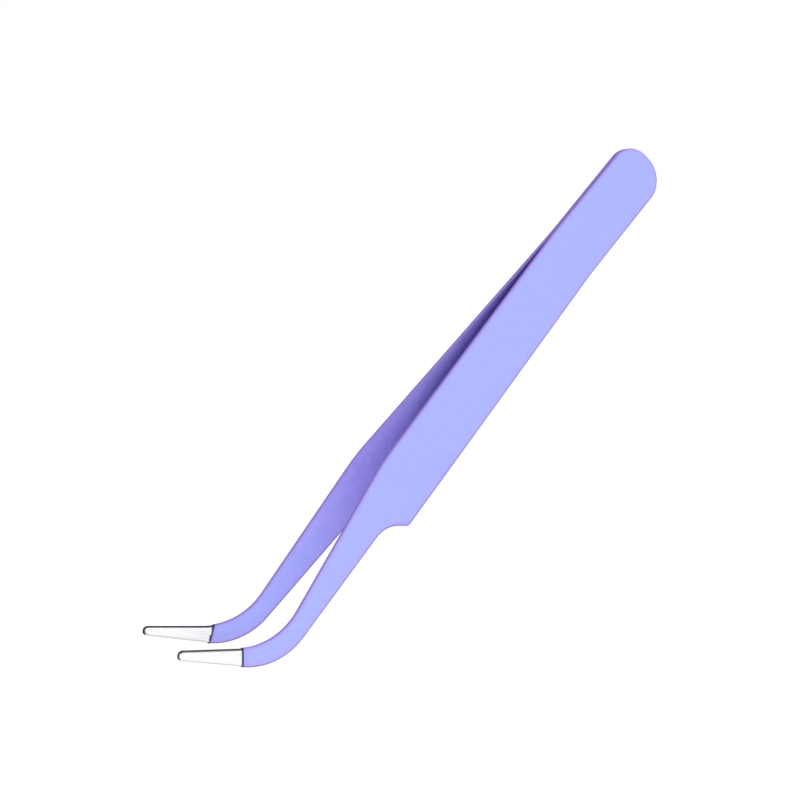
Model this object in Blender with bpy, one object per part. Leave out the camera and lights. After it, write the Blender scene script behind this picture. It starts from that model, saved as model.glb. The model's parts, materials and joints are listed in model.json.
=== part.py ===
"""Curved-tip precision tweezers: two stamped spring leaves, spot-welded at the heel and coated.

Frame: metres, +Z up. The tweezers stand on their long straight edges. +X points to the welded heel,
the tips are at -X and curl up, and the front leaf is on the -Y side. Distances called s run from the
heel's end towards the tips, and heights called h run up from the steel's straight edge.
"""
import bmesh
import bpy
from math import asin, cos, pi, radians, sin, tan

from mathutils import Matrix

# Overall sizes
OVERALL_LENGTH = 0.1200
HANDLE_WIDTH = 0.01039

# Leaves: sheet steel, thinner at the tips
LEAF_THICKNESS = 0.00060
TIP_THICKNESS = 0.00055
LEAF_CHAMFER = 0.00010

# Coat: a skin on both leaves, which stops short of the bare tips
COAT_THICKNESS = 0.00008
COAT_CLEARANCE = 0.00002
COAT_CHAMFER = 0.00014
ROOT_GAP = 0.00004
BARE_TIP_FRONT = 0.01034
BARE_TIP_REAR = 0.01125

# Outline of a leaf, seen from its flat side
TAIL_FLAT = 0.0006
TAIL_DEPTH = 0.0045
KINK_TO_TIP = 0.0445
KINK_EASE = 0.0025
SHOULDER_TO_TIP = 0.03975
SHOULDER_STEP = 0.00338
SHOULDER_ANGLE = radians(51.0)
SHOULDER_RADIUS = 0.0050
SHANK_WIDTH = 0.00343
CURVE_OUTER_RADIUS = 0.01105
CURVE_INNER_RADIUS = 0.01105
CURVE_OUTER_TURN = radians(60.0)
CURVE_INNER_END = radians(51.0)
CURVE_LEAD = 0.0024
TIP_LENGTH = 0.01024
TIP_RADIUS = 0.00080
TIP_ROUND_END = radians(72.0)

# Bends that open the arms, and the hinge that stands for the flexing root
HINGE_S = 0.0235
HINGE_CUT = 0.0002
KNEE_TO_TIP = 0.0507
ARM_ANGLE = radians(5.30)
KNEE_ANGLE = radians(0.30)

# Spot welds
NUGGET_RADIUS = 0.0015
NUGGET_DEPTH = 0.0002
NUGGET_CLEARANCE = 0.00002
NUGGET_PLACES = (0.0075, 0.0150)
NUGGET_SIDES = 32

# Facets
TAIL_STEPS = 9
KINK_STEPS = 4
FILLET_STEPS = 6
CURVE_STEPS = 12
TIP_STEPS = 5

# Sizes that follow from the ones above
KNEE_S = OVERALL_LENGTH - KNEE_TO_TIP
KINK_S = OVERALL_LENGTH - KINK_TO_TIP
SHOULDER_S = OVERALL_LENGTH - SHOULDER_TO_TIP
SHOULDER_SLOPE = SHOULDER_STEP - SHOULDER_RADIUS * (1 - cos(SHOULDER_ANGLE))
SHOULDER_RUN = SHOULDER_SLOPE / tan(SHOULDER_ANGLE) + SHOULDER_RADIUS * sin(SHOULDER_ANGLE)
COAT_REACH = COAT_CLEARANCE + COAT_THICKNESS
SEAM_GAP = 2 * COAT_REACH + ROOT_GAP
LEAF_MIDDLE = (SEAM_GAP + LEAF_THICKNESS) / 2
FRONT, REAR = -1, 1


def remove_everything():
    """Start from an empty scene."""
    for thing in list(bpy.data.objects):
        bpy.data.objects.remove(thing, do_unlink=True)


def material(name, colour, metallic, roughness):
    """A Principled material of one colour."""
    made = bpy.data.materials.new(name)
    made.use_nodes = True
    shader = made.node_tree.nodes["Principled BSDF"]
    shader.inputs["Base Color"].default_value = (*colour, 1.0)
    shader.inputs["Metallic"].default_value = metallic
    shader.inputs["Roughness"].default_value = roughness
    return made


def leaf_middle(s):
    """Distance of a leaf's middle surface from the mirror plane: straight, opened, then bowed in."""
    opened = max(0.0, s - HINGE_S) * tan(ARM_ANGLE)
    bowed = max(0.0, s - KNEE_S) * (tan(ARM_ANGLE) - tan(ARM_ANGLE - KNEE_ANGLE))
    return LEAF_MIDDLE + opened - bowed


def leaf_half_thickness(s):
    """Half of the sheet's thickness, which tapers from the shank to the tip."""
    start = SHOULDER_S + SHOULDER_RUN
    along = max(0.0, s - start) / (OVERALL_LENGTH - start)
    return (LEAF_THICKNESS + (TIP_THICKNESS - LEAF_THICKNESS) * along) / 2


def tail_pairs():
    """Rounded heel end: a short flat between two quarter ellipses."""
    reach = (HANDLE_WIDTH - TAIL_FLAT) / 2
    pairs = []
    for step in range(TAIL_STEPS + 1):
        turn = step / TAIL_STEPS * pi / 2
        s = COAT_REACH + TAIL_DEPTH * (1 - cos(turn))
        h = reach * (1 - sin(turn))
        pairs.append(((s, h), (s, HANDLE_WIDTH - h)))
    return pairs


def curve_pair(part, lead_angle):
    """Pair at a fraction of the way round the curve, which starts at s = 0 on the outer edge."""
    outer = part * CURVE_OUTER_TURN
    inner = -lead_angle + part * (CURVE_INNER_END + lead_angle)
    low = (CURVE_OUTER_RADIUS * sin(outer), SHOULDER_STEP + CURVE_OUTER_RADIUS * (1 - cos(outer)))
    high = (CURVE_INNER_RADIUS * (sin(inner) + sin(lead_angle)) - CURVE_LEAD,
            SHOULDER_STEP + SHANK_WIDTH + CURVE_INNER_RADIUS * (cos(lead_angle) - cos(inner)))
    return low, high


def curve_and_tip(lead_angle, bare_tip):
    """Pairs of the curved end from s = 0, and the index of the one where the coat ends."""
    heading = (CURVE_OUTER_TURN + CURVE_INNER_END) / 2
    ahead = (cos(heading), sin(heading))
    across = (-sin(heading), cos(heading))
    low, high = curve_pair(1.0, lead_angle)
    reach = TIP_LENGTH - TIP_RADIUS
    centre = ((low[0] + high[0]) / 2 + ahead[0] * reach, (low[1] + high[1]) / 2 + ahead[1] * reach)

    def tip_pair(turn):
        side, forward = TIP_RADIUS * cos(turn), TIP_RADIUS * sin(turn)
        return tuple((centre[0] + ahead[0] * forward + sign * across[0] * side,
                      centre[1] + ahead[1] * forward + sign * across[1] * side) for sign in (-1, 1))

    parts = [step / CURVE_STEPS for step in range(CURVE_STEPS + 1)]
    curve_length = CURVE_OUTER_TURN * (CURVE_OUTER_RADIUS + CURVE_INNER_RADIUS) / 2
    coat_part = 1.0 - (bare_tip - TIP_LENGTH) / curve_length
    if coat_part < 1.0:
        parts = sorted(parts + [coat_part])
    pairs = [curve_pair(part, lead_angle) for part in parts]
    if coat_part < 1.0:
        coat_end = parts.index(coat_part)
    else:
        share = (TIP_LENGTH - bare_tip) / reach
        pairs.append(tuple((a[0] + (b[0] - a[0]) * share, a[1] + (b[1] - a[1]) * share)
                           for a, b in zip((low, high), tip_pair(0.0))))
        coat_end = len(pairs) - 1
    pairs += [tip_pair(step / TIP_STEPS * TIP_ROUND_END) for step in range(TIP_STEPS + 1)]
    return pairs, coat_end


def leaf_pairs(bare_tip):
    """Pairs of points on the lower and upper edges, from the heel to the tip, and the marked stations."""
    lead_angle = 0.0
    fall = HANDLE_WIDTH - SHOULDER_STEP - SHANK_WIDTH
    for _ in range(4):
        tip, tip_coat_end = curve_and_tip(lead_angle, bare_tip)
        curve_s = OVERALL_LENGTH - max(point[0] for pair in tip for point in pair)
        run = curve_s - CURVE_LEAD - KINK_S
        lead_angle = asin(fall / (fall ** 2 + run ** 2) ** 0.5)

    def upper(s):
        past = s - KINK_S
        if abs(past) < KINK_EASE:
            past = (past + KINK_EASE) ** 2 / (4 * KINK_EASE)
        return HANDLE_WIDTH - max(0.0, past) * tan(lead_angle)

    pairs = tail_pairs()
    pairs.append(((HINGE_S - HINGE_CUT / 2, 0.0), (HINGE_S - HINGE_CUT / 2, HANDLE_WIDTH)))
    heel_end = len(pairs) - 1
    for s in (HINGE_S + HINGE_CUT / 2, KNEE_S):
        pairs.append(((s, 0.0), (s, HANDLE_WIDTH)))
    for step in range(KINK_STEPS + 1):
        s = KINK_S + (2 * step / KINK_STEPS - 1) * KINK_EASE
        pairs.append(((s, 0.0), (s, upper(s))))
    pairs.append(((SHOULDER_S, 0.0), (SHOULDER_S, upper(SHOULDER_S))))
    for step in range(FILLET_STEPS + 1):
        turn = (1 - step / FILLET_STEPS) * SHOULDER_ANGLE
        s = SHOULDER_S + SHOULDER_RUN - SHOULDER_RADIUS * sin(turn)
        pairs.append(((s, SHOULDER_STEP - SHOULDER_RADIUS * (1 - cos(turn))), (s, upper(s))))
    coat_end = len(pairs) + tip_coat_end
    pairs += [((low[0] + curve_s, low[1]), (high[0] + curve_s, high[1])) for low, high in tip]
    return pairs, {"heel_end": heel_end, "arm_start": heel_end + 1, "coat_end": coat_end}


def grown(pairs, distance):
    """The same pairs with the whole outline pushed outwards by a distance, corners mitred."""
    outline = [low for low, _ in pairs] + [high for _, high in reversed(pairs)]
    count = len(outline)
    moved = []
    for index, point in enumerate(outline):
        before, after = outline[index - 1], outline[(index + 1) % count]
        normals = []
        for a, b in ((before, point), (point, after)):
            length = ((b[0] - a[0]) ** 2 + (b[1] - a[1]) ** 2) ** 0.5
            normals.append(((b[1] - a[1]) / length, -(b[0] - a[0]) / length))
        total = (normals[0][0] + normals[1][0], normals[0][1] + normals[1][1])
        scale = 2 / (total[0] ** 2 + total[1] ** 2)
        moved.append((point[0] + total[0] * scale * distance, point[1] + total[1] * scale * distance))
    half = count // 2
    return list(zip(moved[:half], reversed(moved[half:])))


def place(s, offset, h, side):
    """World position of a point at s and h, whose offset is measured from the leaf's middle surface."""
    return (OVERALL_LENGTH / 2 - s, side * (leaf_middle(s) + offset), h + COAT_REACH)


def leaf_ring(pair, margin, chamfer, side):
    """Eight corners of one chamfered cross-section of a leaf, or of a skin a margin outside it."""
    low, high = pair
    length = ((high[0] - low[0]) ** 2 + (high[1] - low[1]) ** 2) ** 0.5
    inward = ((high[0] - low[0]) / length * chamfer, (high[1] - low[1]) / length * chamfer)
    ring = []
    for point, sign, faces in ((low, 1, (-1, 1)), (high, -1, (1, -1))):
        inner = (point[0] + sign * inward[0], point[1] + sign * inward[1])
        for face, order in zip(faces, (0, 1)):
            full = [(inner, 0.0), (point, chamfer)]
            for (s, h), cut in (full if order == 0 else reversed(full)):
                offset = face * (leaf_half_thickness(s) + margin - cut)
                ring.append(place(s, offset, h, side))
    return ring


def stack_ring(pair, margin, chamfer):
    """Eight corners of a cross-section round both leaves of the heel."""
    (s, low), (_, high) = pair
    half = SEAM_GAP / 2 + LEAF_THICKNESS + margin
    x = OVERALL_LENGTH / 2 - s
    corners = [(-half, low + chamfer), (-half + chamfer, low),
               (half - chamfer, low), (half, low + chamfer),
               (half, high - chamfer), (half - chamfer, high),
               (-half + chamfer, high), (-half, high - chamfer)]
    return [(x, y, h + COAT_REACH) for y, h in corners]


def skin_rings(mesh, rings):
    """Add rings of vertices and the walls between them."""
    loops = [[mesh.verts.new(point) for point in ring] for ring in rings]
    for one, two in zip(loops, loops[1:]):
        count = len(one)
        for index in range(count):
            following = (index + 1) % count
            mesh.faces.new((one[index], one[following], two[following], two[index]))
    return loops


def join_ends(mesh, one, two):
    """A flat rim between an outer and an inner ring."""
    count = len(one)
    for index in range(count):
        following = (index + 1) % count
        mesh.faces.new((one[index], one[following], two[following], two[index]))


def finished(name, mesh, look, pivot=(0.0, 0.0, 0.0), smooth_angle=radians(25.0)):
    """Turn a mesh into a named object whose origin is on its joint's axis."""
    bmesh.ops.recalc_face_normals(mesh, faces=mesh.faces)
    bmesh.ops.translate(mesh, verts=mesh.verts, vec=[-value for value in pivot])
    data = bpy.data.meshes.new(name)
    mesh.to_mesh(data)
    mesh.free()
    data.materials.append(look)
    data.shade_smooth()
    data.set_sharp_from_angle(angle=smooth_angle)
    made = bpy.data.objects.new(name, data)
    made.location = pivot
    bpy.context.collection.objects.link(made)
    return made


def solid_leaf(name, pairs, side, look, pivot):
    """One stretch of a steel leaf."""
    mesh = bmesh.new()
    loops = skin_rings(mesh, [leaf_ring(pair, 0.0, LEAF_CHAMFER, side) for pair in pairs])
    mesh.faces.new(loops[0])
    mesh.faces.new(loops[-1])
    return finished(name, mesh, look, pivot)


def arm_sleeve(name, pairs, first, last, side, look, pivot):
    """The coat on one arm: a sleeve, open at the root and where the bare tip comes out."""
    mesh = bmesh.new()
    outer = grown(pairs, COAT_REACH)[first:last + 1]
    inner = grown(pairs, COAT_CLEARANCE)[first:last + 1]
    outside = skin_rings(mesh, [leaf_ring(pair, COAT_REACH, COAT_CHAMFER, side) for pair in outer])
    inside = skin_rings(mesh, [leaf_ring(pair, COAT_CLEARANCE, LEAF_CHAMFER, side) for pair in inner])
    join_ends(mesh, outside[0], inside[0])
    join_ends(mesh, outside[-1], inside[-1])
    return finished(name, mesh, look, pivot)


def heel_pouch(name, pairs, last, look):
    """The coat on the welded heel: one pouch round both leaves, open towards the arms."""
    mesh = bmesh.new()
    outer = grown(pairs, COAT_REACH)[:last + 1]
    inner = grown(pairs, COAT_CLEARANCE)[:last + 1]
    outside = skin_rings(mesh, [stack_ring(pair, COAT_REACH, COAT_CHAMFER) for pair in outer])
    inside = skin_rings(mesh, [stack_ring(pair, COAT_CLEARANCE, LEAF_CHAMFER) for pair in inner])
    join_ends(mesh, outside[-1], inside[-1])
    mesh.faces.new(outside[0])
    mesh.faces.new(inside[0])
    return finished(name, mesh, look)


def disc(name, s, radius, half_height, look):
    """A round slug across the seam, its axis along Y."""
    mesh = bmesh.new()
    bmesh.ops.create_cone(mesh, cap_ends=True, segments=NUGGET_SIDES, radius1=radius, radius2=radius,
                          depth=2 * half_height)
    bmesh.ops.rotate(mesh, verts=mesh.verts, cent=(0.0, 0.0, 0.0), matrix=Matrix.Rotation(pi / 2, 3, "X"))
    made = finished(name, mesh, look)
    made.location = (OVERALL_LENGTH / 2 - s, 0.0, COAT_REACH + HANDLE_WIDTH / 2)
    return made


def cut_pockets(leaves, look):
    """Blind pockets in the leaves' mating faces, where the weld nuggets sit."""
    half_height = SEAM_GAP / 2 + NUGGET_DEPTH + NUGGET_CLEARANCE
    for number, s in enumerate(NUGGET_PLACES, start=1):
        cutter = disc(f"pocket_cutter_{number}", s, NUGGET_RADIUS + NUGGET_CLEARANCE, half_height, look)
        cutter.hide_render = True
        cutter.display_type = "WIRE"
        for leaf in leaves:
            cut = leaf.modifiers.new(f"pocket_{number}", "BOOLEAN")
            cut.operation = "DIFFERENCE"
            cut.solver = "EXACT"
            cut.object = cutter


def main():
    remove_everything()
    steel = material("steel", (0.74, 0.74, 0.75), 1.0, 0.30)
    weld = material("weld", (0.42, 0.42, 0.44), 1.0, 0.55)
    coat = material("coat", (0.42, 0.44, 0.97), 0.0, 0.45)

    heels = []
    sides = (("front", FRONT, BARE_TIP_FRONT), ("rear", REAR, BARE_TIP_REAR))
    for word, side, bare_tip in sides:
        pairs, mark = leaf_pairs(bare_tip)
        pivot = (OVERALL_LENGTH / 2 - HINGE_S, side * LEAF_MIDDLE, COAT_REACH + HANDLE_WIDTH / 2)
        heel_stretch = pairs[:mark["heel_end"] + 1]
        heels.append(solid_leaf(f"{word}_leaf_heel", heel_stretch, side, steel, (0.0, 0.0, 0.0)))
        solid_leaf(f"{word}_leaf_arm", pairs[mark["arm_start"]:], side, steel, pivot)
        arm_sleeve(f"{word}_coat_arm", pairs, mark["arm_start"], mark["coat_end"], side, coat, pivot)
    heel_pouch("heel_coat", pairs, mark["heel_end"], coat)

    cut_pockets(heels, weld)
    for number, s in enumerate(NUGGET_PLACES, start=1):
        disc(f"weld_nugget_{number}", s, NUGGET_RADIUS, SEAM_GAP / 2 + NUGGET_DEPTH, weld)


if __name__ == "__main__":
    main()
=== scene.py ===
"""Curved precision tweezers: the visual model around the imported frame.

Two sprung steel leaves meet at the heel. A lilac coat covers both, and the tips stay bare. Metres, +X
towards the heel, +Z up, front leaf at -Y. A distance called s runs from the heel's end towards the tips,
and a height called h runs up from the steel's straight edge, as in the frame's own source.
"""
import json
from math import asin, cos, pi, radians, sin, tan

import bmesh
import bpy
from bpy.props import FloatProperty, FloatVectorProperty, IntProperty, PointerProperty
from mathutils import Matrix, Vector


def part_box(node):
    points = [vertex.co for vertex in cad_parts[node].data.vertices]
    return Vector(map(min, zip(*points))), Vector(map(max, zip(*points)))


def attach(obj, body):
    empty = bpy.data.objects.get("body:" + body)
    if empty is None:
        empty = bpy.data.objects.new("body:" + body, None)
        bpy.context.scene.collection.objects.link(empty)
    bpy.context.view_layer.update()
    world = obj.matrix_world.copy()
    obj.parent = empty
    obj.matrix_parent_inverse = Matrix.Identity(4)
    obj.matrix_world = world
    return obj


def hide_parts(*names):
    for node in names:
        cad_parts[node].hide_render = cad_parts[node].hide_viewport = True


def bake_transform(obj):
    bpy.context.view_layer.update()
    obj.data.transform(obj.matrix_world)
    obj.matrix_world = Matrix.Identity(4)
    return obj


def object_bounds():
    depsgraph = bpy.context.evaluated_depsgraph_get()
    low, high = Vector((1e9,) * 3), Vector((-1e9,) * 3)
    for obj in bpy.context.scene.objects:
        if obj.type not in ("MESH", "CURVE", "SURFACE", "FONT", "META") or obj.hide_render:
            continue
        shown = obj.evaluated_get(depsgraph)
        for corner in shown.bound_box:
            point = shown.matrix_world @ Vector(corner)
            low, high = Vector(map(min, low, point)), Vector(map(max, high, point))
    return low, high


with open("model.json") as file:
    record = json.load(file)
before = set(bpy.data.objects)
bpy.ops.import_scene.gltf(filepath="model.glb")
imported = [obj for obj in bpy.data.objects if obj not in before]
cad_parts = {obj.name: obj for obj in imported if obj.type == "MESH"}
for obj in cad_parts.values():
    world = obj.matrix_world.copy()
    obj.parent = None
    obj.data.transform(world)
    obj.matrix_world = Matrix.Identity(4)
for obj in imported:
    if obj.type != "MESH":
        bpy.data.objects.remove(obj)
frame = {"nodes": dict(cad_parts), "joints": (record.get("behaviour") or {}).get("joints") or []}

bl_info = {
    "name": "Curved Precision Tweezers",
    "version": (1, 0, 0),
    "blender": (4, 5, 0),
    "location": "3D View > Sidebar > Tweezers",
    "description": "Coated tweezers with bare curved tips, made around their packed frame",
    "category": "Add Mesh",
}

# Boxes of the frame that the sizes come from
CAD_LOW, CAD_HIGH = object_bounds()
HEEL_LOW, HEEL_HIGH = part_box("front_leaf_heel")
HINGE = Vector(frame["joints"][0]["pos_m"])
HINGE_S = CAD_HIGH.x - HINGE.x
FRONT, REAR = -1, 1
SIDES = (("front", FRONT), ("rear", REAR))

# How finely an outline is divided, and how often its slope and its curve's start are matched
HANDLE_STEPS = 40
SLOPE_ROUNDS = 4

# Points nearer than this are one, and points this near to a cut lie on it
MERGE_DISTANCE = 1e-7
END_DISTANCE = 5e-6

# Degrees from which an edge is sharp, the cosine up to which an edge lies across a direction, and the share
# of a round end in which the edges across it are taken out
SHARP_ANGLE = 50.0
ACROSS = 0.2
END_SHARE = 0.99

# Jags of the coat's edge: how long an edge is to be divided, its cuts, and the waves that its points then
# follow over the height in tenths of a millimetre, each with its share, its rate and its start
LONG_EDGE = 0.001
JAG_CUTS = 14
JAG_SCALE = 1e4
JAG_WAVES = ((0.6, 0.8, 0.0), (0.4, 1.9, 1.0))


# Properties

def size_property(name, description, default):
    """A length that a user would change."""
    return FloatProperty(name=name, description=description, default=default, min=0.0, precision=6,
                         subtype="DISTANCE", unit="LENGTH")


def angle_property(name, description, degrees_default):
    """An angle that a user would change."""
    return FloatProperty(name=name, description=description, default=radians(degrees_default),
                         subtype="ANGLE", unit="ROTATION")


def share_property(name, description, default):
    """A plain number from 0 up."""
    return FloatProperty(name=name, description=description, default=default, min=0.0)


def colour_property(name, description, default):
    """A linear colour."""
    return FloatVectorProperty(name=name, description=description, default=default, size=3, min=0.0,
                               soft_max=1.0, subtype="COLOR")


class TweezersSizes(bpy.types.PropertyGroup):
    """Sizes of the leaves and the coat."""
    length: size_property("Length", "From the heel's end to the tips", CAD_HIGH.x - CAD_LOW.x)
    handle_width: size_property("Handle width", "Steel's width at the handle", HEEL_HIGH.z - HEEL_LOW.z)
    leaf_thickness: size_property("Leaf thickness", "Sheet steel at the handle", HEEL_HIGH.y - HEEL_LOW.y)
    tip_thickness: size_property("Tip thickness", "Sheet steel at the tips", 0.00055)
    leaf_edge: size_property("Leaf edge", "Radius of the steel's edges", 0.00026)
    seam_gap: size_property("Seam gap", "Between the two leaves at the heel", -2 * HEEL_HIGH.y)
    coat_reach: size_property("Coat reach", "From the steel to the coat's outside", HEEL_LOW.z - CAD_LOW.z)
    coat_thickness: size_property("Coat thickness", "Wall of the coat", 0.00008)
    coat_edge: size_property("Coat edge", "Radius of the coat's edges", 0.00033)
    tail_flat: size_property("Heel flat", "Flat between the heel's two round corners", 0.0006)
    tail_depth: size_property("Heel depth", "Length of the heel's round corners", 0.0045)
    kink_to_tip: size_property("Kink", "From the tips to where the upper edge starts to fall", 0.0445)
    kink_ease: size_property("Kink ease", "Half of the stretch in which that edge turns", 0.0025)
    shoulder_to_tip: size_property("Shoulder", "From the tips to where the lower edge steps up", 0.03975)
    shoulder_step: size_property("Shoulder step", "Height of the step", 0.00338)
    shoulder_radius: size_property("Shoulder radius", "Curve that ends the step", 0.0050)
    shank_width: size_property("Shank width", "Steel's width where the curve starts", 0.00343)
    outer_radius: size_property("Outer radius", "Curve of the lower edge", 0.01105)
    inner_radius: size_property("Inner radius", "Curve of the upper edge", 0.01105)
    curve_lead: size_property("Curve lead", "How much earlier the upper edge starts to curve", 0.0024)
    tip_length: size_property("Tip length", "Straight stretch after the curve", 0.01024)
    tip_radius: size_property("Tip radius", "Half of the rounded end's width", 0.00080)
    tip_round_end: angle_property("Tip round", "How far the tip's corners turn before its small flat", 72.0)
    shoulder_angle: angle_property("Shoulder angle", "Slope of the step", 51.0)
    outer_turn: angle_property("Outer turn", "How far the lower edge turns", 60.0)
    inner_end: angle_property("Inner end", "Heading of the upper edge after the curve", 51.0)
    arm_angle: angle_property("Arm angle", "How far each arm stands open", 5.30)
    knee_angle: angle_property("Knee angle", "How far each arm bows back", 0.30)
    knee_to_tip: size_property("Knee", "From the tips to where the arm bows back", 0.0507)
    bend_ease: size_property("Bend ease", "Half of the stretch in which the arm bends open", 0.0022)
    flex_length: size_property("Flex length", "Stretch of the handle that bends when squeezed", 0.036)
    bare_front: size_property("Bare front tip", "Length without a coat", 0.01034)
    bare_rear: size_property("Bare rear tip", "Length without a coat", 0.01125)
    lip_width: size_property("Lip width", "Built-up edge where the coat ends", 0.00026)
    lip_height: size_property("Lip height", "How far that edge stands proud", 0.000015)
    front_lip_slant: angle_property("Front lip slant", "Slant of the coat's edge on the front tip", -7.0)
    rear_lip_slant: angle_property("Rear lip slant", "Slant of the coat's edge on the rear tip", 6.0)
    front_ragged: size_property("Front raggedness", "How uneven the coat's edge is", 0.000008)
    rear_ragged: size_property("Rear raggedness", "How uneven the coat's edge is", 0.00014)
    bead_radius: size_property("Seam bead", "Radius of the coat's bead in the seam", 0.00011)
    bead_depth: size_property("Seam bead depth", "Bead's middle below the coat's outside", 0.00024)
    root_web: size_property("Root web", "How far the bead reaches into the root between the arms", 0.0009)
    round_steps: IntProperty(name="Round steps", description="Facets in each rounded corner", default=16,
                             min=4)
    edge_steps: IntProperty(name="Edge steps", description="Facets across a rounded edge", default=4, min=1)


class TweezersLooks(bpy.types.PropertyGroup):
    """Colours and finishes."""
    coat: colour_property("Coat", "Satin lilac coat", (0.403, 0.460, 0.960))
    coat_deep: colour_property("Coat, deep", "Where the coat is thicker", (0.372, 0.432, 0.945))
    # Painted shade: a violet tint on the coat's faces between the arms
    painted_inner_shade: colour_property("Coat, inner", "Coat on the faces between the arms", (0.450, 0.412, 1.0))
    # Painted highlight where the coat's face turns up into the upper edge
    painted_edge_highlight: colour_property("Coat, turn", "Coat where the face turns into the edge", (0.50, 0.39, 0.98))
    # Painted shade on the rims of the coat's edges
    painted_rim_shade: colour_property("Coat, rim", "Thin coat over the sheet's edges", (0.31, 0.26, 0.76))
    # Painted shade where the coat's face turns down
    painted_underside_shade: colour_property("Coat, under", "Coat where the face turns down", (0.17, 0.20, 0.38))
    # Painted shade deep in the root between the arms
    painted_nook_shade: colour_property("Coat, nook", "Coat deep between the arms", (0.028, 0.006, 0.36))
    # How far the painted edge highlight and shade spread from an edge
    painted_edge_spread: size_property("Soft edge", "How far from an edge the coat's tint changes", 0.0010)
    # How far the painted shade on the steel's rim spreads from an edge
    steel_painted_edge_spread: size_property("Steel soft edge", "How far from an edge the steel darkens", 0.0004)
    # Reach of the ambient occlusion that places the painted shade between the arms
    painted_nook_reach: size_property("Nook reach", "How near the other arm is where the coat looks deep", 0.010)
    lip: colour_property("Coat lip", "Darkened edge where the coat ends", (0.020, 0.018, 0.075))
    steel: colour_property("Steel", "Brushed bare steel", (0.90, 0.93, 0.90))
    # Painted shade on the steel's cut rims, darker on the rear leaf, and painted light on the lower rim
    front_painted_rim_shade: colour_property("Front steel rim", "Cut edge of the front leaf", (0.13, 0.13, 0.13))
    rear_painted_rim_shade: colour_property("Rear steel rim", "Cut edge of the rear leaf", (0.07, 0.07, 0.072))
    lower_painted_rim_light: colour_property("Lower steel rim", "Cut edge on the underside", (0.60, 0.62, 0.60))
    weld: colour_property("Weld", "Fused spot welds", (0.42, 0.42, 0.44))
    coat_roughness: share_property("Coat roughness", "Satin", 0.46)
    steel_roughness: share_property("Steel roughness", "Fine brushing", 0.30)


class TweezersStage(bpy.types.PropertyGroup):
    """Camera, floor and lights."""
    azimuth: angle_property("Azimuth", "0 looks along +Y", -16.1164)
    elevation: angle_property("Elevation", "Above the horizon", 21.8994)
    roll: angle_property("Roll", "Turn about the line of sight", -44.6419)
    distance: size_property("Distance", "From the camera to the point it looks at", 0.23593)
    aim: FloatVectorProperty(name="Aim", description="From the middle of the box to the point looked at",
                             default=(-0.003866, 0.002671, 0.002444), size=3, subtype="TRANSLATION",
                             unit="LENGTH")
    lens: FloatProperty(name="Lens", description="Focal length in millimetres", default=63.072, min=1.0)
    floor_size: size_property("Floor", "Side of the floor", 60.0)
    floor_pale: colour_property("Floor, pale", "Lighter tone of the floor", (0.92, 0.92, 0.92))
    floor_shade: colour_property("Floor, shade", "Darker tone of the floor", (0.88, 0.88, 0.89))
    floor_glow: share_property("Floor glow", "Light that the pale floor gives back", 0.66)
    world_light: share_property("World light", "Even light from all sides", 0.46)
    key_power: share_property("Key power", "Watts of the broad front light", 0.85)
    world_colour: colour_property("World colour", "Tint of the even light", (1.0, 0.84, 0.96))
    key_colour: colour_property("Key colour", "Tint of the front light", (0.92, 0.99, 1.0))
    fill_power: share_property("Fill power", "Watts of the soft side light", 0.08)
    light_size: size_property("Light size", "Side of each square light", 0.22)


# Outline of a leaf

def ramp(distance, half):
    """0 before the corner and the distance after it, with the corner rounded over a half each way."""
    if distance <= -half:
        return 0.0
    if distance >= half:
        return distance
    return (distance + half) ** 2 / (4 * half)


def leaf_middle(sizes, s):
    """Distance of a leaf's middle surface from the mirror plane."""
    start = (sizes.seam_gap + sizes.leaf_thickness) / 2
    opened = ramp(s - HINGE_S, sizes.bend_ease) * tan(sizes.arm_angle)
    lost_slope = tan(sizes.arm_angle) - tan(sizes.arm_angle - sizes.knee_angle)
    bowed = ramp(s - sizes.length + sizes.knee_to_tip, 2 * sizes.bend_ease) * lost_slope
    return start + opened - bowed


def tail_pairs(sizes, inset=0.0):
    """Rounded heel end: a short flat between two quarter ellipses, set in from the steel's edge."""
    depth = sizes.tail_depth - inset
    reach = (sizes.handle_width - sizes.tail_flat) / 2 - inset
    pairs = []
    for step in range(sizes.round_steps + 1):
        turn = step / sizes.round_steps * pi / 2
        s = sizes.coat_reach + inset + depth * (1 - cos(turn))
        h = inset + reach * (1 - sin(turn))
        pairs.append(((s, h), (s, sizes.handle_width - h)))
    return pairs


def curve_and_tip(sizes, lead_angle):
    """Pairs of the curved end, whose outer edge starts to curve at s = 0, and its heading."""
    pairs = []
    steps = 2 * sizes.round_steps
    for step in range(steps + 1):
        outer = step / steps * sizes.outer_turn
        inner = -lead_angle + step / steps * (sizes.inner_end + lead_angle)
        low = (sizes.outer_radius * sin(outer),
               sizes.shoulder_step + sizes.outer_radius * (1 - cos(outer)))
        high = (sizes.inner_radius * (sin(inner) + sin(lead_angle)) - sizes.curve_lead,
                sizes.shoulder_step + sizes.shank_width
                + sizes.inner_radius * (cos(lead_angle) - cos(inner)))
        pairs.append((low, high))
    heading = (sizes.outer_turn + sizes.inner_end) / 2
    ahead = Vector((cos(heading), sin(heading)))
    across = Vector((-sin(heading), cos(heading)))
    middle = (Vector(pairs[-1][0]) + Vector(pairs[-1][1])) / 2
    centre = middle + ahead * (sizes.tip_length - sizes.tip_radius)
    low, high = (Vector(point) for point in pairs[-1])
    for share in (0.25, 0.5, 0.75):
        pairs.append((tuple(low.lerp(centre - across * sizes.tip_radius, share)),
                      tuple(high.lerp(centre + across * sizes.tip_radius, share))))
    for step in range(sizes.round_steps + 1):
        turn = step / sizes.round_steps * sizes.tip_round_end
        forward = centre + ahead * sizes.tip_radius * sin(turn)
        side = across * sizes.tip_radius * cos(turn)
        pairs.append((tuple(forward - side), tuple(forward + side)))
    return pairs, heading


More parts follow.
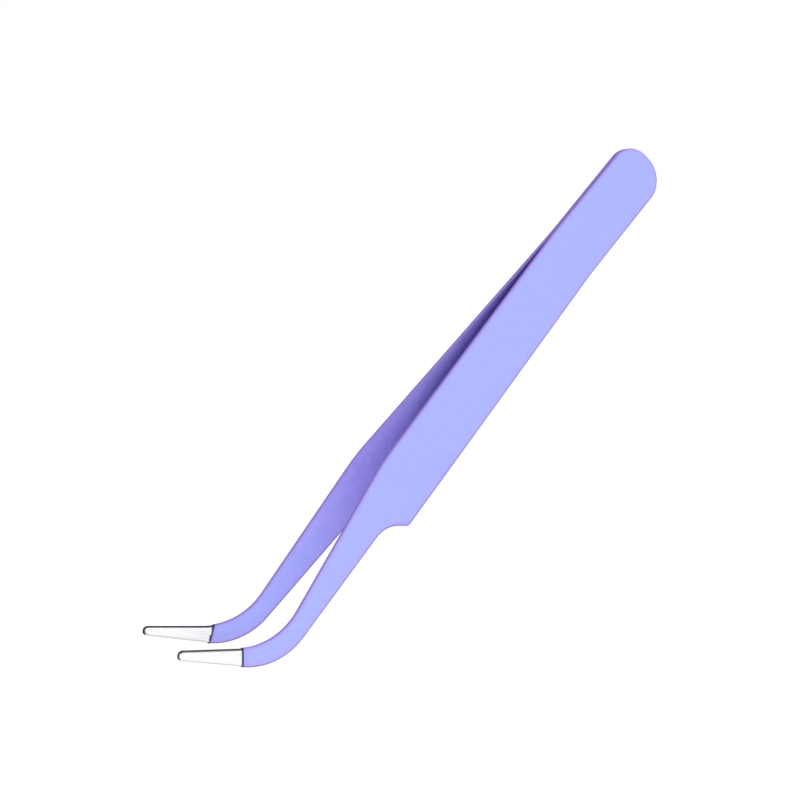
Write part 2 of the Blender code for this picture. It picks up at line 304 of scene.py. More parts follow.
def shoulder_end(sizes):
    """Where the curve that ends the lower edge's step runs out."""
    slope = sizes.shoulder_step - sizes.shoulder_radius * (1 - cos(sizes.shoulder_angle))
    run = slope / tan(sizes.shoulder_angle) + sizes.shoulder_radius * sin(sizes.shoulder_angle)
    return sizes.length - sizes.shoulder_to_tip + run


def leaf_outline(sizes):
    """Pairs of (s, h) points on the lower and upper edges from heel to tip, the tip's end, its heading."""
    lead_angle = 0.0
    kink_s = sizes.length - sizes.kink_to_tip
    fall = sizes.handle_width - sizes.shoulder_step - sizes.shank_width
    for _ in range(SLOPE_ROUNDS):
        tip, heading = curve_and_tip(sizes, lead_angle)
        curve_s = sizes.length - max(point[0] for pair in tip for point in pair)
        run = curve_s - sizes.curve_lead - kink_s
        lead_angle = asin(fall / (fall ** 2 + run ** 2) ** 0.5)
    pairs = tail_pairs(sizes)
    straight = pairs[-1][0][0]

    def upper(s):
        return sizes.handle_width - ramp(s - kink_s, sizes.kink_ease) * tan(lead_angle)

    shoulder_s = sizes.length - sizes.shoulder_to_tip
    for step in range(1, HANDLE_STEPS + 1):
        s = straight + (shoulder_s - straight) * step / HANDLE_STEPS
        pairs.append(((s, 0.0), (s, upper(s))))
    arc_end = shoulder_end(sizes)
    for step in range(sizes.round_steps + 1):
        turn = (1 - step / sizes.round_steps) * sizes.shoulder_angle
        s = arc_end - sizes.shoulder_radius * sin(turn)
        h = sizes.shoulder_step - sizes.shoulder_radius * (1 - cos(turn))
        pairs.append(((s, h), (s, upper(s))))
    pairs += [((low[0] + curve_s, low[1]), (high[0] + curve_s, high[1])) for low, high in tip]
    end = (Vector(pairs[-1][0]) + Vector(pairs[-1][1])) / 2
    end += Vector((cos(heading), sin(heading))) * sizes.tip_radius * (1 - sin(sizes.tip_round_end))
    return pairs, end, heading


def in_frame(sizes, s, h, side):
    """Place of a point at s and h on a leaf's middle surface."""
    return Vector((CAD_HIGH.x - s, side * leaf_middle(sizes, s), h + HEEL_LOW.z))


def tip_frame(sizes, side):
    """End of a tip, and the way that it points."""
    _, end, heading = leaf_outline(sizes)
    return in_frame(sizes, end[0], end[1], side), Vector((-cos(heading), 0.0, sin(heading)))


# Modelling by operators

def nothing_selected():
    """Object mode, with nothing selected."""
    if bpy.context.object is not None and bpy.context.object.mode != "OBJECT":
        bpy.ops.object.mode_set(mode="OBJECT")
    bpy.ops.object.select_all(action="DESELECT")


def only(thing):
    """Select one object and make it active."""
    nothing_selected()
    thing.select_set(True)
    bpy.context.view_layer.objects.active = thing


def pick(thing, wanted, kind="VERT"):
    """In edit mode, select the vertices, edges or faces that a test wants."""
    bpy.ops.mesh.select_mode(type=kind)
    mesh = bmesh.from_edit_mesh(thing.data)
    for group in (mesh.verts, mesh.edges, mesh.faces):
        for item in group:
            item.select = False
    items = {"VERT": mesh.verts, "EDGE": mesh.edges, "FACE": mesh.faces}[kind]
    for item in items:
        if wanted(item):
            item.select = True
    mesh.select_flush_mode()
    bmesh.update_edit_mesh(thing.data)


def move_vertices(thing, numbers, by):
    """In edit mode, move the vertices with these numbers."""
    pick(thing, lambda vertex: vertex.index in numbers)
    bpy.ops.transform.translate(value=by)


def apply_modifier(thing, kind, **values):
    """Add a modifier, set it and apply it."""
    only(thing)
    added = thing.modifiers.new(kind.lower(), kind)
    for key, value in values.items():
        setattr(added, key, value)
    bpy.ops.object.modifier_apply(modifier=added.name)


def copy_of(thing, name):
    """A copy with its own mesh."""
    only(thing)
    bpy.ops.object.duplicate(linked=False)
    made = bpy.context.object
    made.name = name
    made.data.name = name
    return made


def removed(thing):
    """Delete a working copy."""
    only(thing)
    bpy.ops.object.delete()


def edit_all(thing):
    """Edit mode, with every vertex selected."""
    only(thing)
    bpy.ops.object.mode_set(mode="EDIT")
    bpy.ops.mesh.select_mode(type="VERT")
    bpy.ops.mesh.select_all(action="SELECT")


def closed(thing):
    """Merge doubled vertices and turn the faces outwards."""
    edit_all(thing)
    bpy.ops.mesh.remove_doubles(threshold=MERGE_DISTANCE)
    bpy.ops.mesh.normals_make_consistent(inside=False)
    bpy.ops.object.mode_set(mode="OBJECT")


def smoothed(thing, angle=35.0):
    """Smooth shading up to an angle, with flat faces kept flat."""
    only(thing)
    bpy.ops.object.shade_smooth_by_angle(angle=radians(angle))
    apply_modifier(thing, "WEIGHTED_NORMAL", weight=100, keep_sharp=True)


def rounded(sizes, thing, width):
    """Round the sharp edges of a blank and close it again."""
    apply_modifier(thing, "BEVEL", width=width, segments=sizes.edge_steps, limit_method="ANGLE",
                   angle_limit=radians(SHARP_ANGLE), use_clamp_overlap=True, harden_normals=False)
    closed(thing)


def laid_strip(name, pairs):
    """A strip of faces laid along pairs of points: a plane whose end edge is pulled from pair to pair."""
    nothing_selected()
    bpy.ops.mesh.primitive_plane_add(size=1.0, enter_editmode=True, location=(0.0, 0.0, 0.0))
    made = bpy.context.object
    made.name = name
    made.data.name = name
    places = {0: pairs[0][0], 1: pairs[0][1], 2: pairs[1][0], 3: pairs[1][1]}
    for number, place in places.items():
        mesh = bmesh.from_edit_mesh(made.data)
        mesh.verts.ensure_lookup_table()
        move_vertices(made, {number}, Vector(place) - mesh.verts[number].co)
    low, high = 2, 3
    for before, after in zip(pairs[1:], pairs[2:]):
        pick(made, lambda vertex: vertex.index in (low, high))
        by = Vector(after[0]) - Vector(before[0])
        bpy.ops.mesh.extrude_region_move(TRANSFORM_OT_translate={"value": by})
        mesh = bmesh.from_edit_mesh(made.data)
        mesh.verts.ensure_lookup_table()
        low, high = sorted((vertex.index for vertex in mesh.verts if vertex.select),
                           key=lambda number: (mesh.verts[number].co - Vector(after[0])).length)
        by = Vector(after[1]) - mesh.verts[high].co
        move_vertices(made, {high}, by)
    bpy.ops.object.mode_set(mode="OBJECT")
    return made


def cut_away(thing, place, normal):
    """Cut a shell open and drop what lies ahead of the plane."""
    edit_all(thing)
    bpy.ops.mesh.bisect(plane_co=place, plane_no=normal, use_fill=False, clear_outer=True,
                        threshold=MERGE_DISTANCE)
    bpy.ops.object.mode_set(mode="OBJECT")


def fattened(thing, by):
    """Push a shell's surface outwards."""
    edit_all(thing)
    bpy.ops.transform.shrink_fatten(value=by, use_even_offset=True)
    bpy.ops.object.mode_set(mode="OBJECT")


def roughen_end(thing, place, ahead, by):
    """Divide the open end of a short ring finely and move its points a little along the ring's axis."""
    only(thing)
    bpy.ops.object.mode_set(mode="EDIT")

    def long_and_across(edge):
        way = (edge.verts[0].co - edge.verts[1].co).normalized()
        return abs(way.dot(ahead)) < ACROSS and edge.calc_length() > LONG_EDGE

    pick(thing, long_and_across, "EDGE")
    bpy.ops.mesh.subdivide(number_cuts=JAG_CUTS)
    mesh = bmesh.from_edit_mesh(thing.data)
    heights = {vertex.index: vertex.co.z * JAG_SCALE for vertex in mesh.verts
               if abs((vertex.co - place).dot(ahead)) < END_DISTANCE}
    for number, height in heights.items():
        jag = sum(share * sin(rate * height + start) for share, rate, start in JAG_WAVES)
        move_vertices(thing, {number}, ahead * by * jag)
    bpy.ops.object.mode_set(mode="OBJECT")


def merge_round_ends(sizes, strip, side):
    """One face at each round end, so that an edge rounding isn't held back by narrow ones."""
    place, ahead = tip_frame(sizes, side)
    tail_x = CAD_HIGH.x - sizes.coat_reach - END_SHARE * sizes.tail_depth
    round_length = END_SHARE * sizes.tip_radius * sin(sizes.tip_round_end)
    only(strip)
    bpy.ops.object.mode_set(mode="EDIT")

    def inside(edge):
        middle = (edge.verts[0].co + edge.verts[1].co) / 2
        return not edge.is_boundary and (middle.x > tail_x or (place - middle).dot(ahead) < round_length)

    pick(strip, inside, "EDGE")
    bpy.ops.mesh.dissolve_edges(use_verts=False)
    bpy.ops.object.mode_set(mode="OBJECT")


def leaf_blank(sizes, word, side):
    """One leaf as a square-edged sheet, thinner at the tip."""
    outline, _, _ = leaf_outline(sizes)
    pairs = [tuple(in_frame(sizes, s, h, side) for s, h in pair) for pair in outline]
    blank = laid_strip(f"{word}_blank", pairs)
    merge_round_ends(sizes, blank, side)
    closed(blank)
    thin = blank.vertex_groups.new(name="thickness")
    taper_start = CAD_HIGH.x - shoulder_end(sizes)
    thinnest = sizes.tip_thickness / sizes.leaf_thickness
    for vertex in blank.data.vertices:
        along = max(0.0, (taper_start - vertex.co.x) / (taper_start - CAD_LOW.x))
        thin.add([vertex.index], 1.0 + (thinnest - 1.0) * along, "REPLACE")
    apply_modifier(blank, "SOLIDIFY", thickness=sizes.leaf_thickness, offset=0.0, vertex_group="thickness",
                   use_even_offset=True, use_rim=True)
    blank.vertex_groups.clear()
    closed(blank)
    return blank


# Shader groups

def group_with(name, inputs, outputs):
    """An empty shader node group with its sockets: (kind, name, default) and (kind, name)."""
    made = bpy.data.node_groups.new(name, "ShaderNodeTree")
    for kind, label, default in inputs:
        socket = made.interface.new_socket(name=label, in_out="INPUT", socket_type=f"NodeSocket{kind}")
        socket.default_value = default
    for kind, label in outputs:
        made.interface.new_socket(name=label, in_out="OUTPUT", socket_type=f"NodeSocket{kind}")
    source = made.nodes.new("NodeGroupInput")
    target = made.nodes.new("NodeGroupOutput")
    return made, source, target


def node(tree, kind, values=None, links=None):
    """A node with some attributes and sockets set, and some sockets linked."""
    made = tree.nodes.new(f"ShaderNode{kind}")
    for key, value in (values or {}).items():
        if key in made.inputs.keys() or isinstance(key, int):
            made.inputs[key].default_value = value
        else:
            setattr(made, key, value)
    for key, socket in (links or {}).items():
        tree.links.new(socket, made.inputs[key])
    return made


def rim_group():
    """Masks from a normal for painted light and shade: rounded edge, cut rim, what looks down, upper edge.
    """
    tree, source, target = group_with(
        "Sheet rim", [("Vector", "Normal", (0.0, 0.0, 0.0)), ("Float", "Turn From", 0.9985),
                      ("Float", "Turn To", 0.965), ("Float", "Rim From", 0.80), ("Float", "Rim To", 0.50)],
        [("Float", "Turn"), ("Float", "Rim"), ("Float", "Down"), ("Float", "Upper Turn")])
    parts = node(tree, "SeparateXYZ", None, {0: source.outputs["Normal"]})
    flat = node(tree, "Math", {"operation": "ABSOLUTE"}, {0: parts.outputs["Y"]})
    masks = {}
    for label in ("Turn", "Rim"):
        mask = node(tree, "MapRange", {"interpolation_type": "SMOOTHSTEP"},
                    {"Value": flat.outputs[0], "From Min": source.outputs[f"{label} From"],
                     "From Max": source.outputs[f"{label} To"]})
        masks[label] = mask.outputs["Result"]
        tree.links.new(masks[label], target.inputs[label])
    down = node(tree, "MapRange", {"From Min": -0.02, "From Max": -0.08}, {"Value": parts.outputs["Z"]})
    tree.links.new(down.outputs["Result"], target.inputs["Down"])
    upward = node(tree, "MapRange", {"From Min": 0.0, "From Max": 0.10}, {"Value": parts.outputs["Z"]})
    upper = node(tree, "Math", {"operation": "MULTIPLY"}, {0: masks["Turn"], 1: upward.outputs["Result"]})
    tree.links.new(upper.outputs[0], target.inputs["Upper Turn"])
    return tree


def inner_group():
    """Masks for painted shade on faces facing the other leaf: in full, and fading out towards the tips."""
    tree, source, target = group_with(
        "Inner face", [("Float", "Reach", 0.0001), ("Float", "Fade From", -0.042),
                       ("Float", "Fade To", -0.018)],
        [("Float", "Inner"), ("Float", "Faded")])
    place = node(tree, "TexCoord")
    faces = node(tree, "SeparateXYZ", None, {0: place.outputs["Normal"]})
    sides = node(tree, "SeparateXYZ", None, {0: place.outputs["Object"]})
    inward = node(tree, "Math", {"operation": "MULTIPLY"}, {0: faces.outputs["Y"], 1: sides.outputs["Y"]})
    back = node(tree, "Math", {"operation": "MULTIPLY", 1: -1.0}, {0: inward.outputs[0]})
    mask = node(tree, "MapRange", {"From Min": 0.0},
                {"Value": back.outputs[0], "From Max": source.outputs["Reach"]})
    fade = node(tree, "MapRange", None,
                {"Value": sides.outputs["X"], "From Min": source.outputs["Fade From"],
                 "From Max": source.outputs["Fade To"], "To Max": mask.outputs["Result"]})
    tree.links.new(mask.outputs["Result"], target.inputs["Inner"])
    tree.links.new(fade.outputs["Result"], target.inputs["Faded"])
    return tree


def mottle_group():
    """Soft clouds and fine specks of a sprayed coat, and its orange-peel height."""
    tree, source, target = group_with(
        "Coat mottle", [("Float", "Cloud Scale", 900.0), ("Float", "Peel Scale", 2600.0)],
        [("Float", "Cloud"), ("Float", "Speck"), ("Float", "Height")])
    place = node(tree, "TexCoord")
    cloud = node(tree, "TexNoise", {"Detail": 4.0, "Roughness": 0.6},
                 {"Vector": place.outputs["Object"], "Scale": source.outputs["Cloud Scale"]})
    peel = node(tree, "TexNoise", {"Detail": 2.0, "Roughness": 0.5},
                {"Vector": place.outputs["Object"], "Scale": source.outputs["Peel Scale"]})
    fine = node(tree, "Math", {"operation": "MULTIPLY", 1: 2.3}, {0: source.outputs["Peel Scale"]})
    specks = node(tree, "TexVoronoi", {"feature": "F1", "Randomness": 1.0},
                  {"Vector": place.outputs["Object"], "Scale": fine.outputs[0]})
    speck = node(tree, "MapRange", {"From Min": 0.08, "From Max": 0.30, "To Min": 1.0, "To Max": 0.0},
                 {"Value": specks.outputs["Distance"]})
    soft = node(tree, "MapRange", {"From Min": 0.30, "From Max": 0.70}, {"Value": cloud.outputs["Fac"]})
    tree.links.new(soft.outputs["Result"], target.inputs["Cloud"])
    tree.links.new(speck.outputs["Result"], target.inputs["Speck"])
    tree.links.new(peel.outputs["Fac"], target.inputs["Height"])
    return tree


def brush_group():
    """Lengthwise brushing of sheet steel: streaks for the colour and their height."""
    tree, source, target = group_with(
        "Steel brushing", [("Vector", "Turn", (0.0, 0.0, 0.0)), ("Float", "Along", 260.0),
                           ("Float", "Across", 9000.0)],
        [("Float", "Streak"), ("Float", "Height")])
    place = node(tree, "TexCoord")
    turned = node(tree, "Mapping", {"vector_type": "POINT"},
                  {"Vector": place.outputs["Object"], "Rotation": source.outputs["Turn"]})
    scale = node(tree, "CombineXYZ", None, {"X": source.outputs["Along"], "Y": source.outputs["Across"],
                                            "Z": source.outputs["Across"]})
    stretched = node(tree, "VectorMath", {"operation": "MULTIPLY"},
                     {0: turned.outputs[0], 1: scale.outputs[0]})
    fine = node(tree, "TexNoise", {"Scale": 1.0, "Detail": 3.0, "Roughness": 0.65},
                {"Vector": stretched.outputs[0]})
    broad = node(tree, "TexNoise", {"Scale": 0.22, "Detail": 2.0, "Roughness": 0.5},
                 {"Vector": stretched.outputs[0]})
    both = node(tree, "Math", {"operation": "MULTIPLY"}, {0: fine.outputs["Fac"], 1: broad.outputs["Fac"]})
    streak = node(tree, "MapRange", {"From Min": 0.16, "From Max": 0.34}, {"Value": both.outputs[0]})
    tree.links.new(streak.outputs["Result"], target.inputs["Streak"])
    tree.links.new(fine.outputs["Fac"], target.inputs["Height"])
    return tree


def use_group(tree, group, values=None):
    """Place a shader group in a material with its own values."""
    made = tree.nodes.new("ShaderNodeGroup")
    made.node_tree = group
    for key, value in (values or {}).items():
        made.inputs[key].default_value = value
    return made


def shared_group(name, maker):
    """The group of that name, made on first use."""
    return bpy.data.node_groups.get(name) or maker()


def new_material(name):
    """A material, its node tree and its Principled shader."""
    made = bpy.data.materials.new(name)
    made.use_nodes = True
    return made, made.node_tree, made.node_tree.nodes["Principled BSDF"]


def mix(tree, factor, one, two, blend="MIX"):
    """Colour output of a Mix node. A colour may be three numbers or a socket."""
    made = tree.nodes.new("ShaderNodeMix")
    made.data_type = "RGBA"
    made.blend_type = blend
    for socket, value in ((made.inputs[0], factor), (made.inputs[6], one), (made.inputs[7], two)):
        if isinstance(value, bpy.types.NodeSocket):
            tree.links.new(value, socket)
        elif isinstance(value, float):
            socket.default_value = value
        else:
            socket.default_value = (*value, 1.0)
    return made.outputs[2]


def dimmed(colour, by):
    """A colour made darker, or lighter where by is over 1."""
    return tuple(by * channel for channel in colour)


def set_roughness(tree, shader, mask, start, end):
    """Let the roughness follow a mask from start to end."""
    rough = node(tree, "MapRange", {"To Min": start, "To Max": end}, {"Value": mask})
    tree.links.new(rough.outputs["Result"], shader.inputs["Roughness"])


def set_bump(tree, shader, height, strength, distance):
    """Let a height show as bump."""
    bump = node(tree, "Bump", {"Strength": strength, "Distance": distance}, {"Height": height})
    tree.links.new(bump.outputs[0], shader.inputs["Normal"])


def coat_material(looks):
    """Satin lilac coat with clouds, specks and orange peel.

    It has a redder painted highlight where it turns up into a cut edge and painted shade on its rims,
    greyer painted shade where it turns down, and violet painted shade between the arms, deepest at the
    root.
    """
    made, tree, shader = new_material("lilac_coat")
    mottle = use_group(tree, shared_group("Coat mottle", mottle_group))
    # Softened normal from the Bevel node, which spreads the painted edge highlight and shade
    soft = node(tree, "Bevel", {"samples": 8, "Radius": looks.painted_edge_spread})
    rim = use_group(tree, shared_group("Sheet rim", rim_group))
    tree.links.new(soft.outputs[0], rim.inputs["Normal"])
    inner = use_group(tree, shared_group("Inner face", inner_group))
    clouded = mix(tree, mottle.outputs["Cloud"], looks.coat_deep, looks.coat)
    specked_share = node(tree, "Math", {"operation": "MULTIPLY", 1: 0.12}, {0: mottle.outputs["Speck"]})
    specked = mix(tree, specked_share.outputs[0], clouded, looks.coat_deep)
    # Painted shade: a violet tint on the faces between the arms, fading out towards the tips
    mottled_inner_shade = mix(tree, mottle.outputs["Cloud"], dimmed(looks.painted_inner_shade, 0.86), looks.painted_inner_shade)
    inner_shaded = mix(tree, inner.outputs["Faded"], specked, mottled_inner_shade)
    # Painted highlight where the face turns up into the upper edge
    turned = mix(tree, rim.outputs["Upper Turn"], inner_shaded, looks.painted_edge_highlight)
    # Painted shade on the rims
    rim_shaded = mix(tree, rim.outputs["Rim"], turned, looks.painted_rim_shade)
    place = node(tree, "TexCoord")
    true_rim = use_group(tree, shared_group("Sheet rim", rim_group))
    tree.links.new(place.outputs["Normal"], true_rim.inputs["Normal"])
    # Painted shade on edges that turn down
    under = node(tree, "Math", {"operation": "MULTIPLY"},
                 {0: true_rim.outputs["Turn"], 1: true_rim.outputs["Down"]})
    underside_shaded = mix(tree, under.outputs[0], rim_shaded, looks.painted_underside_shade)
    # Painted shade between the arms, deepest where ambient occlusion is strong
    nook = node(tree, "AmbientOcclusion", {"samples": 8, "Distance": looks.painted_nook_reach})
    nook_shade_share = node(tree, "MapRange", {"From Min": 0.64, "From Max": 0.28},
                      {"Value": nook.outputs["AO"], "To Max": inner.outputs["Inner"]})
    deep = mix(tree, nook_shade_share.outputs["Result"], underside_shaded, looks.painted_nook_shade)
    tree.links.new(deep, shader.inputs["Base Color"])
    set_roughness(tree, shader, mottle.outputs["Cloud"], looks.coat_roughness - 0.05,
                  looks.coat_roughness + 0.07)
    set_bump(tree, shader, mottle.outputs["Height"], 0.5, 0.00004)
    shader.inputs["Specular IOR Level"].default_value = 0.35
    return made


def lip_material(looks):
    """Darkened, slightly glossy edge of the coat."""
    made, tree, shader = new_material("coat_lip")
    mottle = use_group(tree, shared_group("Coat mottle", mottle_group), {"Cloud Scale": 2600.0})
    tint = mix(tree, mottle.outputs["Cloud"], looks.lip, dimmed(looks.lip, 2.4))
    tree.links.new(tint, shader.inputs["Base Color"])
    set_roughness(tree, shader, mottle.outputs["Cloud"], 0.35, 0.6)
    set_bump(tree, shader, mottle.outputs["Height"], 0.4, 0.00002)
    return made


def steel_material(looks, word, heading):
    """Brushed bare steel along the tip, with painted shade on its cut rim, painted light where it looks
    down.
    """
    made, tree, shader = new_material(f"{word}_tip_steel")
    brush = use_group(tree, shared_group("Steel brushing", brush_group), {"Turn": (0.0, -heading, 0.0)})
    soft = node(tree, "Bevel", {"samples": 8, "Radius": looks.steel_painted_edge_spread})
    rim = use_group(tree, shared_group("Sheet rim", rim_group), {"Rim From": 0.998, "Rim To": 0.97})
    tree.links.new(soft.outputs[0], rim.inputs["Normal"])
    streaked = mix(tree, brush.outputs["Streak"], dimmed(looks.steel, 0.88), looks.steel)
    # Painted shade on the cut rims, darker on the rear leaf, and painted light on rims that look down
    rim_shade_colour = {"front": looks.front_painted_rim_shade, "rear": looks.rear_painted_rim_shade}[word]
    rim_light_and_shade = mix(tree, rim.outputs["Down"], rim_shade_colour, looks.lower_painted_rim_light)
    tree.links.new(mix(tree, rim.outputs["Rim"], streaked, rim_light_and_shade), shader.inputs["Base Color"])
    set_roughness(tree, shader, brush.outputs["Streak"], looks.steel_roughness + 0.08,
                  looks.steel_roughness - 0.04)
    set_bump(tree, shader, brush.outputs["Height"], 0.25, 0.000006)
    shader.inputs["Metallic"].default_value = 1.0
    return made


def weld_material(looks):
    """Fused steel of a spot weld: dull, with a grain from cooling."""
    made, tree, shader = new_material("fused_weld")
    mottle = use_group(tree, shared_group("Coat mottle", mottle_group), {"Cloud Scale": 1500.0})
    tint = mix(tree, mottle.outputs["Cloud"], dimmed(looks.weld, 0.6), looks.weld)
    tree.links.new(tint, shader.inputs["Base Color"])
    set_bump(tree, shader, mottle.outputs["Height"], 0.5, 0.00003)
    shader.inputs["Metallic"].default_value = 1.0
    shader.inputs["Roughness"].default_value = 0.55
    return made


def finish_with(thing, look):
    """One material on the whole piece."""
    thing.data.materials.clear()
    thing.data.materials.append(look)


# Operators

def arm_body(word):
    """Body of an arm."""
    return f"{word}_arm"


class TWEEZERS_OT_leaves(bpy.types.Operator):
    """Make the two steel leaves, each in one piece from heel to tip"""
    bl_idname = "tweezers.leaves"
    bl_label = "Leaves"

    def execute(self, context):
        sizes, looks = context.scene.tweezers_sizes, context.scene.tweezers_looks
        _, _, heading = leaf_outline(sizes)
        for word, side in SIDES:
            leaf = leaf_blank(sizes, word, side)
            leaf.name = leaf.data.name = f"{word}_leaf"
            rounded(sizes, leaf, sizes.leaf_edge)
            smoothed(leaf)
            finish_with(leaf, steel_material(looks, word, heading))
            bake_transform(leaf)
            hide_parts(f"{word}_leaf_heel", f"{word}_leaf_arm")
        return {"FINISHED"}


class TWEEZERS_OT_coats(bpy.types.Operator):
    """Make the coat of each leaf as a thin sleeve with a darkened lip where the bare tip comes out"""
    bl_idname = "tweezers.coats"
    bl_label = "Coats"

    def execute(self, context):
        sizes, looks = context.scene.tweezers_sizes, context.scene.tweezers_looks
        coat_look, lip_look = coat_material(looks), lip_material(looks)
        plans = (("front", FRONT, sizes.bare_front, sizes.front_lip_slant, sizes.front_ragged),
                 ("rear", REAR, sizes.bare_rear, sizes.rear_lip_slant, sizes.rear_ragged))
        for word, side, bare, slant, ragged in plans:
            place, ahead = tip_frame(sizes, side)
            ahead = Matrix.Rotation(slant, 3, "Y") @ ahead
            shell = leaf_blank(sizes, word, side)
            fattened(shell, sizes.coat_reach)
            coat_end = place - ahead * bare
            lip_start = coat_end - ahead * sizes.lip_width
            cut_away(shell, coat_end + ahead * sizes.lip_width * 2, ahead)
            rounded(sizes, shell, sizes.coat_edge)
            cut_away(shell, coat_end, ahead)

            lip = copy_of(shell, f"{word}_coat_lip")
            cut_away(lip, lip_start, -ahead)
            fattened(lip, sizes.lip_height)
            roughen_end(lip, coat_end, ahead, ragged)
            apply_modifier(lip, "SOLIDIFY", thickness=sizes.coat_thickness + sizes.lip_height, offset=-1.0,
                           use_rim=True)
            smoothed(lip, SHARP_ANGLE)
            finish_with(lip, lip_look)
            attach(lip, arm_body(word))

            coat = copy_of(shell, f"{word}_coat")
            removed(shell)
            cut_away(coat, lip_start, ahead)
            apply_modifier(coat, "SOLIDIFY", thickness=sizes.coat_thickness, offset=-1.0,
                           use_even_offset=True, use_rim=True)
            smoothed(coat)
            finish_with(coat, coat_look)
            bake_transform(coat)
            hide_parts(f"{word}_coat_arm")
        return {"FINISHED"}


class TWEEZERS_OT_seam(bpy.types.Operator):
    """Make the bead of coat that fills the seam round the welded heel and the root between the arms"""
    bl_idname = "tweezers.seam"
    bl_label = "Seam bead"

    def execute(self, context):
        sizes = context.scene.tweezers_sizes
        look = bpy.data.materials.get("lilac_coat")
        if look is None:
            raise RuntimeError("make the coats before the seam bead")
        inset = sizes.bead_depth - sizes.coat_reach
        pairs = tail_pairs(sizes, inset)
        root_s = HINGE_S + sizes.root_web
        pairs.append(((root_s, inset), (root_s, sizes.handle_width - inset)))
        in_seam = [tuple(Vector((CAD_HIGH.x - s, 0.0, h + HEEL_LOW.z)) for s, h in pair) for pair in pairs]
        bead = laid_strip("seam_bead", in_seam)
        bpy.ops.object.mode_set(mode="EDIT")
        pick(bead, lambda edge: not edge.is_boundary, "EDGE")
        bpy.ops.mesh.delete(type="EDGE")
        bpy.ops.object.mode_set(mode="OBJECT")
        only(bead)
        bpy.ops.object.convert(target="CURVE")
        bead.data.bevel_depth = sizes.bead_radius
        bead.data.bevel_resolution = 3
        bpy.ops.object.convert(target="MESH")
        bead = bpy.context.object
        closed(bead)
        smoothed(bead, SHARP_ANGLE)
        finish_with(bead, look)
        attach(bead, "heel")
        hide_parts("heel_coat")
        return {"FINISHED"}


class TWEEZERS_OT_welds(bpy.types.Operator):
    """Give the two spot welds their finish"""
    bl_idname = "tweezers.welds"
    bl_label = "Weld finish"

    def execute(self, context):
        look = weld_material(context.scene.tweezers_looks)
        for name, thing in frame["nodes"].items():
            if name.startswith("weld_nugget"):
                finish_with(thing, look)
        return {"FINISHED"}


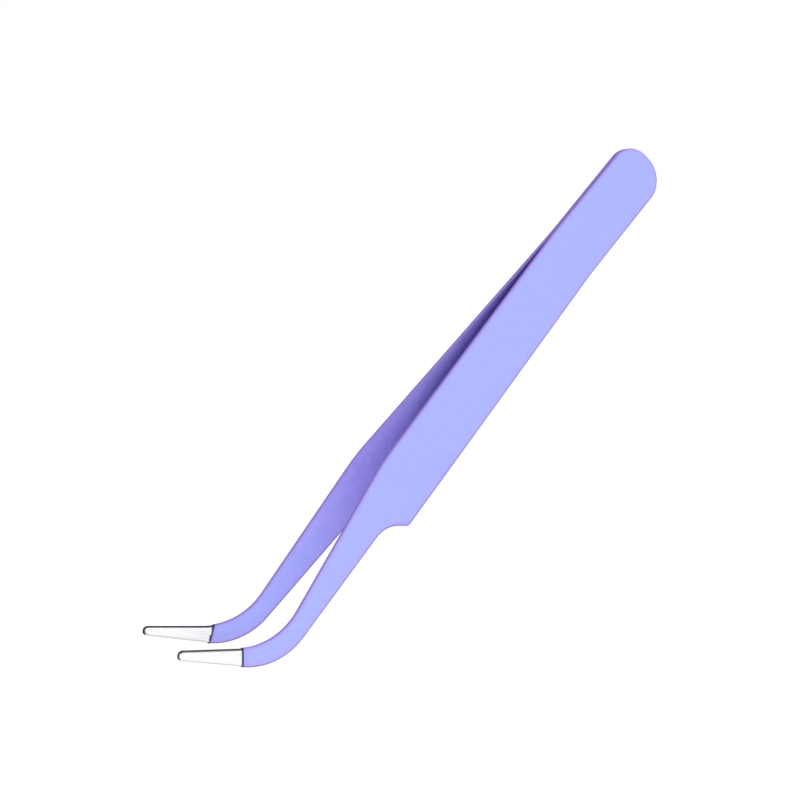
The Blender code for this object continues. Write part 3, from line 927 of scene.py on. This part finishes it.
class TWEEZERS_OT_stage(bpy.types.Operator):
    """Make the floor, the lights and the camera"""
    bl_idname = "tweezers.stage"
    bl_label = "Stage"

    def execute(self, context):
        stage = context.scene.tweezers_stage
        self.add_floor(stage)
        self.add_world(context, stage)
        self.add_lights(stage)
        self.add_camera(context, stage)
        return {"FINISHED"}

    def add_floor(self, stage):
        """A plain pale floor."""
        nothing_selected()
        bpy.ops.mesh.primitive_plane_add(size=stage.floor_size, location=(0.0, 0.0, CAD_LOW.z))
        floor = bpy.context.object
        floor.name = floor.data.name = "floor"
        made, tree, shader = new_material("pale_floor")
        place = node(tree, "TexCoord")
        tone = node(tree, "TexNoise", {"Scale": 3.0, "Detail": 2.0}, {"Vector": place.outputs["Object"]})
        pale = mix(tree, tone.outputs["Fac"], stage.floor_shade, stage.floor_pale)
        tree.links.new(pale, shader.inputs["Base Color"])
        shader.inputs["Roughness"].default_value = 0.9
        shader.inputs["Specular IOR Level"].default_value = 0.0
        shader.inputs["Emission Color"].default_value = (1.0, 1.0, 1.0, 1.0)
        shader.inputs["Emission Strength"].default_value = stage.floor_glow
        finish_with(floor, made)

    def add_world(self, context, stage):
        """Even light from all sides, and white where the camera sees past the floor."""
        world = bpy.data.worlds.new("studio")
        context.scene.world = world
        world.use_nodes = True
        tree = world.node_tree
        background = tree.nodes["Background"]
        seen = node(tree, "LightPath")
        tint = mix(tree, seen.outputs["Is Camera Ray"], tuple(stage.world_colour), (1.0, 1.0, 1.0))
        tree.links.new(tint, background.inputs["Color"])
        strength = node(tree, "MapRange", {"To Min": stage.world_light, "To Max": 1.0},
                        {"Value": seen.outputs["Is Camera Ray"]})
        tree.links.new(strength.outputs["Result"], background.inputs["Strength"])

    def add_lights(self, stage):
        """A broad front light and a soft side light."""
        middle = (CAD_LOW + CAD_HIGH) / 2
        lights = (("key", (-0.05, -0.50, 0.12), stage.key_power),
                  ("fill", (0.45, -0.30, 0.14), stage.fill_power))
        for name, offset, power in lights:
            nothing_selected()
            place = middle + Vector(offset)
            bpy.ops.object.light_add(type="AREA", location=place)
            light = bpy.context.object
            light.name = light.data.name = name
            light.rotation_euler = (middle - place).to_track_quat("-Z", "Y").to_euler()
            light.data.shape = "SQUARE"
            light.data.size = stage.light_size
            light.data.energy = power
            light.data.color = stage.key_colour

    def add_camera(self, context, stage):
        """The camera at its azimuth, elevation, roll and distance."""
        nothing_selected()
        bpy.ops.object.camera_add()
        camera = bpy.context.object
        camera.name = camera.data.name = "camera"
        back = Vector((sin(stage.azimuth) * cos(stage.elevation),
                       -cos(stage.azimuth) * cos(stage.elevation), sin(stage.elevation)))
        level = Vector((cos(stage.azimuth), sin(stage.azimuth), 0.0))
        right = level * cos(stage.roll) + back.cross(level) * sin(stage.roll)
        turn = Matrix((right, back.cross(right), back)).transposed()
        aim = (CAD_LOW + CAD_HIGH) / 2 + Vector(stage.aim)
        camera.location = aim + back * stage.distance
        camera.rotation_euler = turn.to_euler()
        camera.data.lens = stage.lens
        camera.data.sensor_width = 36.0
        camera.data.clip_start = 0.01
        camera.data.clip_end = 200.0
        context.scene.camera = camera
        context.scene.view_settings.view_transform = "Standard"


class TWEEZERS_PT_panel(bpy.types.Panel):
    """Lists the tweezers' pieces and settings"""
    bl_idname = "TWEEZERS_PT_panel"
    bl_label = "Precision Tweezers"
    bl_space_type = "VIEW_3D"
    bl_region_type = "UI"
    bl_category = "Tweezers"

    def draw(self, context):
        column = self.layout.column()
        for operator in OPERATORS:
            column.operator(operator.bl_idname)
        scene = context.scene
        for group in (scene.tweezers_sizes, scene.tweezers_looks, scene.tweezers_stage):
            for key in group.__annotations__:
                column.prop(group, key)


OPERATORS = (TWEEZERS_OT_leaves, TWEEZERS_OT_coats, TWEEZERS_OT_seam, TWEEZERS_OT_welds, TWEEZERS_OT_stage)
CLASSES = (TweezersSizes, TweezersLooks, TweezersStage, *OPERATORS, TWEEZERS_PT_panel)


def register():
    """Register the classes and hang the settings on the scene."""
    for made in CLASSES:
        bpy.utils.register_class(made)
    bpy.types.Scene.tweezers_sizes = PointerProperty(type=TweezersSizes)
    bpy.types.Scene.tweezers_looks = PointerProperty(type=TweezersLooks)
    bpy.types.Scene.tweezers_stage = PointerProperty(type=TweezersStage)


def unregister():
    """Take the settings and the classes away again."""
    del bpy.types.Scene.tweezers_stage
    del bpy.types.Scene.tweezers_looks
    del bpy.types.Scene.tweezers_sizes
    for made in reversed(CLASSES):
        bpy.utils.unregister_class(made)


def main():
    """Make every piece and the stage."""
    register()
    bpy.ops.tweezers.leaves()
    bpy.ops.tweezers.coats()
    bpy.ops.tweezers.seam()
    bpy.ops.tweezers.welds()
    bpy.ops.tweezers.stage()


if __name__ == "__main__":
    main()
